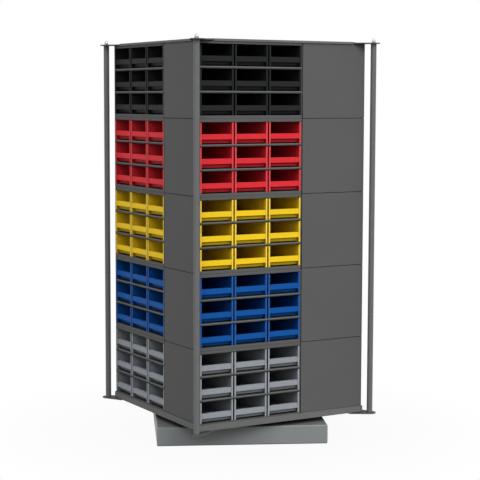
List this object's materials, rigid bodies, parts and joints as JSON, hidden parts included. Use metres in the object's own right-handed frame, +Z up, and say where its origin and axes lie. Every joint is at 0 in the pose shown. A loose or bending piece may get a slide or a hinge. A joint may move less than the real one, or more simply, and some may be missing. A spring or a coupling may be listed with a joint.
{
  "type": "rotating drawer cabinet carousel",
  "caption": "Tall square carousel of steel small-parts cabinets in coloured levels, with sliding plastic drawers on every side, turning on a low square floor base.",
  "frame": {"origin": "on the floor, on the turning axis, at the middle of the base", "axes": "+Z up along the turning axis; the front cabinets open towards -Y and the left cabinets towards -X at rest; the base is turned 25 degrees clockwise from above"},
  "size_m": [0.8512, 0.8512, 1.521],
  "materials": {
    "cabinet_paint": "dark grey powder coat, fine texture, low sheen",
    "base_paint": "mid grey powder coat, low sheen",
    "post_paint": "dark grey paint, half gloss",
    "bearing_steel": "turned bearing steel, lightly oiled",
    "zinc_steel": "bright zinc plate",
    "nut_chrome": "polished chrome plate",
    "drawer_black": "moulded black plastic, half gloss",
    "drawer_red": "moulded red plastic, half gloss",
    "drawer_yellow": "moulded yellow plastic, half gloss",
    "drawer_blue": "moulded blue plastic, half gloss",
    "drawer_grey": "moulded light grey plastic, half gloss"
  },
  "bodies": {
    "base": {"base_pan": "base_paint", "bearing_lower_race": "bearing_steel", "bearing_balls": "bearing_steel"},
    "carousel": {"bearing_upper_race": "bearing_steel", "race_screws": "zinc_steel", "tray_bearers": "cabinet_paint", "turntable_tray": "cabinet_paint", "corner_plates": "cabinet_paint", "corner_posts": "post_paint", "tie_rods": "zinc_steel", "cap_nuts": "nut_chrome", "top_cover": "cabinet_paint", "cabinet_cases": "cabinet_paint", "cabinet_end_panels": "cabinet_paint", "drawer_shelves": "cabinet_paint", "drawer_dividers": "cabinet_paint"},
    "front_black_drawers": {"front_black_drawers": "drawer_black"},
    "front_red_drawer_top_left": {"front_red_drawer_top_left": "drawer_red"},
    "front_red_drawer_top_centre": {"front_red_drawer_top_centre": "drawer_red"},
    "front_red_drawer_top_right": {"front_red_drawer_top_right": "drawer_red"},
    "front_red_drawer_middle_left": {"front_red_drawer_middle_left": "drawer_red"},
    "front_red_drawer_middle_centre": {"front_red_drawer_middle_centre": "drawer_red"},
    "front_red_drawer_middle_right": {"front_red_drawer_middle_right": "drawer_red"},
    "front_red_drawer_bottom_left": {"front_red_drawer_bottom_left": "drawer_red"},
    "front_red_drawer_bottom_centre": {"front_red_drawer_bottom_centre": "drawer_red"},
    "front_red_drawer_bottom_right": {"front_red_drawer_bottom_right": "drawer_red"},
    "front_yellow_drawer_top_left": {"front_yellow_drawer_top_left": "drawer_yellow"},
    "front_yellow_drawer_top_centre": {"front_yellow_drawer_top_centre": "drawer_yellow"},
    "front_yellow_drawer_top_right": {"front_yellow_drawer_top_right": "drawer_yellow"},
    "front_yellow_drawer_middle_left": {"front_yellow_drawer_middle_left": "drawer_yellow"},
    "front_yellow_drawer_middle_centre": {"front_yellow_drawer_middle_centre": "drawer_yellow"},
    "front_yellow_drawer_middle_right": {"front_yellow_drawer_middle_right": "drawer_yellow"},
    "front_yellow_drawer_bottom_left": {"front_yellow_drawer_bottom_left": "drawer_yellow"},
    "front_yellow_drawer_bottom_centre": {"front_yellow_drawer_bottom_centre": "drawer_yellow"},
    "front_yellow_drawer_bottom_right": {"front_yellow_drawer_bottom_right": "drawer_yellow"},
    "front_blue_drawer_top_left": {"front_blue_drawer_top_left": "drawer_blue"},
    "front_blue_drawer_top_centre": {"front_blue_drawer_top_centre": "drawer_blue"},
    "front_blue_drawer_top_right": {"front_blue_drawer_top_right": "drawer_blue"},
    "front_blue_drawer_middle_left": {"front_blue_drawer_middle_left": "drawer_blue"},
    "front_blue_drawer_middle_centre": {"front_blue_drawer_middle_centre": "drawer_blue"},
    "front_blue_drawer_middle_right": {"front_blue_drawer_middle_right": "drawer_blue"},
    "front_blue_drawer_bottom_left": {"front_blue_drawer_bottom_left": "drawer_blue"},
    "front_blue_drawer_bottom_centre": {"front_blue_drawer_bottom_centre": "drawer_blue"},
    "front_blue_drawer_bottom_right": {"front_blue_drawer_bottom_right": "drawer_blue"},
    "front_grey_drawers": {"front_grey_drawers": "drawer_grey"},
    "right_black_drawers": {"right_black_drawers": "drawer_black"},
    "right_red_drawers": {"right_red_drawers": "drawer_red"},
    "right_yellow_drawers": {"right_yellow_drawers": "drawer_yellow"},
    "right_blue_drawers": {"right_blue_drawers": "drawer_blue"},
    "right_grey_drawers": {"right_grey_drawers": "drawer_grey"},
    "back_black_drawers": {"back_black_drawers": "drawer_black"},
    "back_red_drawers": {"back_red_drawers": "drawer_red"},
    "back_yellow_drawers": {"back_yellow_drawers": "drawer_yellow"},
    "back_blue_drawers": {"back_blue_drawers": "drawer_blue"},
    "back_grey_drawers": {"back_grey_drawers": "drawer_grey"},
    "left_black_drawers": {"left_black_drawers": "drawer_black"},
    "left_red_drawers": {"left_red_drawers": "drawer_red"},
    "left_yellow_drawers": {"left_yellow_drawers": "drawer_yellow"},
    "left_blue_drawers": {"left_blue_drawers": "drawer_blue"},
    "left_grey_drawers": {"left_grey_drawers": "drawer_grey"}
  },
  "joints": [
    {"name": "turntable_turn", "type": "hinge", "parent": "base", "child": "carousel", "pos_m": [0, 0, 0.08025], "axis": [0, 0, 1], "continuous": true},
    {"name": "front_black_drawers_slide", "type": "slide", "parent": "carousel", "child": "front_black_drawers", "axis": [0, -1, 0], "range_m": [0, 0.2]},
    {"name": "front_red_drawer_top_left_slide", "type": "slide", "parent": "carousel", "child": "front_red_drawer_top_left", "axis": [0, -1, 0], "range_m": [0, 0.2]},
    {"name": "front_red_drawer_top_centre_slide", "type": "slide", "parent": "carousel", "child": "front_red_drawer_top_centre", "axis": [0, -1, 0], "range_m": [0, 0.2]},
    {"name": "front_red_drawer_top_right_slide", "type": "slide", "parent": "carousel", "child": "front_red_drawer_top_right", "axis": [0, -1, 0], "range_m": [0, 0.2]},
    {"name": "front_red_drawer_middle_left_slide", "type": "slide", "parent": "carousel", "child": "front_red_drawer_middle_left", "axis": [0, -1, 0], "range_m": [0, 0.2]},
    {"name": "front_red_drawer_middle_centre_slide", "type": "slide", "parent": "carousel", "child": "front_red_drawer_middle_centre", "axis": [0, -1, 0], "range_m": [0, 0.2]},
    {"name": "front_red_drawer_middle_right_slide", "type": "slide", "parent": "carousel", "child": "front_red_drawer_middle_right", "axis": [0, -1, 0], "range_m": [0, 0.2]},
    {"name": "front_red_drawer_bottom_left_slide", "type": "slide", "parent": "carousel", "child": "front_red_drawer_bottom_left", "axis": [0, -1, 0], "range_m": [0, 0.2]},
    {"name": "front_red_drawer_bottom_centre_slide", "type": "slide", "parent": "carousel", "child": "front_red_drawer_bottom_centre", "axis": [0, -1, 0], "range_m": [0, 0.2]},
    {"name": "front_red_drawer_bottom_right_slide", "type": "slide", "parent": "carousel", "child": "front_red_drawer_bottom_right", "axis": [0, -1, 0], "range_m": [0, 0.2]},
    {"name": "front_yellow_drawer_top_left_slide", "type": "slide", "parent": "carousel", "child": "front_yellow_drawer_top_left", "axis": [0, -1, 0], "range_m": [0, 0.2]},
    {"name": "front_yellow_drawer_top_centre_slide", "type": "slide", "parent": "carousel", "child": "front_yellow_drawer_top_centre", "axis": [0, -1, 0], "range_m": [0, 0.2]},
    {"name": "front_yellow_drawer_top_right_slide", "type": "slide", "parent": "carousel", "child": "front_yellow_drawer_top_right", "axis": [0, -1, 0], "range_m": [0, 0.2]},
    {"name": "front_yellow_drawer_middle_left_slide", "type": "slide", "parent": "carousel", "child": "front_yellow_drawer_middle_left", "axis": [0, -1, 0], "range_m": [0, 0.2]},
    {"name": "front_yellow_drawer_middle_centre_slide", "type": "slide", "parent": "carousel", "child": "front_yellow_drawer_middle_centre", "axis": [0, -1, 0], "range_m": [0, 0.2]},
    {"name": "front_yellow_drawer_middle_right_slide", "type": "slide", "parent": "carousel", "child": "front_yellow_drawer_middle_right", "axis": [0, -1, 0], "range_m": [0, 0.2]},
    {"name": "front_yellow_drawer_bottom_left_slide", "type": "slide", "parent": "carousel", "child": "front_yellow_drawer_bottom_left", "axis": [0, -1, 0], "range_m": [0, 0.2]},
    {"name": "front_yellow_drawer_bottom_centre_slide", "type": "slide", "parent": "carousel", "child": "front_yellow_drawer_bottom_centre", "axis": [0, -1, 0], "range_m": [0, 0.2]},
    {"name": "front_yellow_drawer_bottom_right_slide", "type": "slide", "parent": "carousel", "child": "front_yellow_drawer_bottom_right", "axis": [0, -1, 0], "range_m": [0, 0.2]},
    {"name": "front_blue_drawer_top_left_slide", "type": "slide", "parent": "carousel", "child": "front_blue_drawer_top_left", "axis": [0, -1, 0], "range_m": [0, 0.2]},
    {"name": "front_blue_drawer_top_centre_slide", "type": "slide", "parent": "carousel", "child": "front_blue_drawer_top_centre", "axis": [0, -1, 0], "range_m": [0, 0.2]},
    {"name": "front_blue_drawer_top_right_slide", "type": "slide", "parent": "carousel", "child": "front_blue_drawer_top_right", "axis": [0, -1, 0], "range_m": [0, 0.2]},
    {"name": "front_blue_drawer_middle_left_slide", "type": "slide", "parent": "carousel", "child": "front_blue_drawer_middle_left", "axis": [0, -1, 0], "range_m": [0, 0.2]},
    {"name": "front_blue_drawer_middle_centre_slide", "type": "slide", "parent": "carousel", "child": "front_blue_drawer_middle_centre", "axis": [0, -1, 0], "range_m": [0, 0.2]},
    {"name": "front_blue_drawer_middle_right_slide", "type": "slide", "parent": "carousel", "child": "front_blue_drawer_middle_right", "axis": [0, -1, 0], "range_m": [0, 0.2]},
    {"name": "front_blue_drawer_bottom_left_slide", "type": "slide", "parent": "carousel", "child": "front_blue_drawer_bottom_left", "axis": [0, -1, 0], "range_m": [0, 0.2]},
    {"name": "front_blue_drawer_bottom_centre_slide", "type": "slide", "parent": "carousel", "child": "front_blue_drawer_bottom_centre", "axis": [0, -1, 0], "range_m": [0, 0.2]},
    {"name": "front_blue_drawer_bottom_right_slide", "type": "slide", "parent": "carousel", "child": "front_blue_drawer_bottom_right", "axis": [0, -1, 0], "range_m": [0, 0.2]},
    {"name": "front_grey_drawers_slide", "type": "slide", "parent": "carousel", "child": "front_grey_drawers", "axis": [0, -1, 0], "range_m": [0, 0.2]},
    {"name": "right_black_drawers_slide", "type": "slide", "parent": "carousel", "child": "right_black_drawers", "axis": [1, 0, 0], "range_m": [0, 0.2]},
    {"name": "right_red_drawers_slide", "type": "slide", "parent": "carousel", "child": "right_red_drawers", "axis": [1, 0, 0], "range_m": [0, 0.2]},
    {"name": "right_yellow_drawers_slide", "type": "slide", "parent": "carousel", "child": "right_yellow_drawers", "axis": [1, 0, 0], "range_m": [0, 0.2]},
    {"name": "right_blue_drawers_slide", "type": "slide", "parent": "carousel", "child": "right_blue_drawers", "axis": [1, 0, 0], "range_m": [0, 0.2]},
    {"name": "right_grey_drawers_slide", "type": "slide", "parent": "carousel", "child": "right_grey_drawers", "axis": [1, 0, 0], "range_m": [0, 0.2]},
    {"name": "back_black_drawers_slide", "type": "slide", "parent": "carousel", "child": "back_black_drawers", "axis": [0, 1, 0], "range_m": [0, 0.2]},
    {"name": "back_red_drawers_slide", "type": "slide", "parent": "carousel", "child": "back_red_drawers", "axis": [0, 1, 0], "range_m": [0, 0.2]},
    {"name": "back_yellow_drawers_slide", "type": "slide", "parent": "carousel", "child": "back_yellow_drawers", "axis": [0, 1, 0], "range_m": [0, 0.2]},
    {"name": "back_blue_drawers_slide", "type": "slide", "parent": "carousel", "child": "back_blue_drawers", "axis": [0, 1, 0], "range_m": [0, 0.2]},
    {"name": "back_grey_drawers_slide", "type": "slide", "parent": "carousel", "child": "back_grey_drawers", "axis": [0, 1, 0], "range_m": [0, 0.2]},
    {"name": "left_black_drawers_slide", "type": "slide", "parent": "carousel", "child": "left_black_drawers", "axis": [-1, 0, 0], "range_m": [0, 0.2]},
    {"name": "left_red_drawers_slide", "type": "slide", "parent": "carousel", "child": "left_red_drawers", "axis": [-1, 0, 0], "range_m": [0, 0.2]},
    {"name": "left_yellow_drawers_slide", "type": "slide", "parent": "carousel", "child": "left_yellow_drawers", "axis": [-1, 0, 0], "range_m": [0, 0.2]},
    {"name": "left_blue_drawers_slide", "type": "slide", "parent": "carousel", "child": "left_blue_drawers", "axis": [-1, 0, 0], "range_m": [0, 0.2]},
    {"name": "left_grey_drawers_slide", "type": "slide", "parent": "carousel", "child": "left_grey_drawers", "axis": [-1, 0, 0], "range_m": [0, 0.2]}
  ]
}
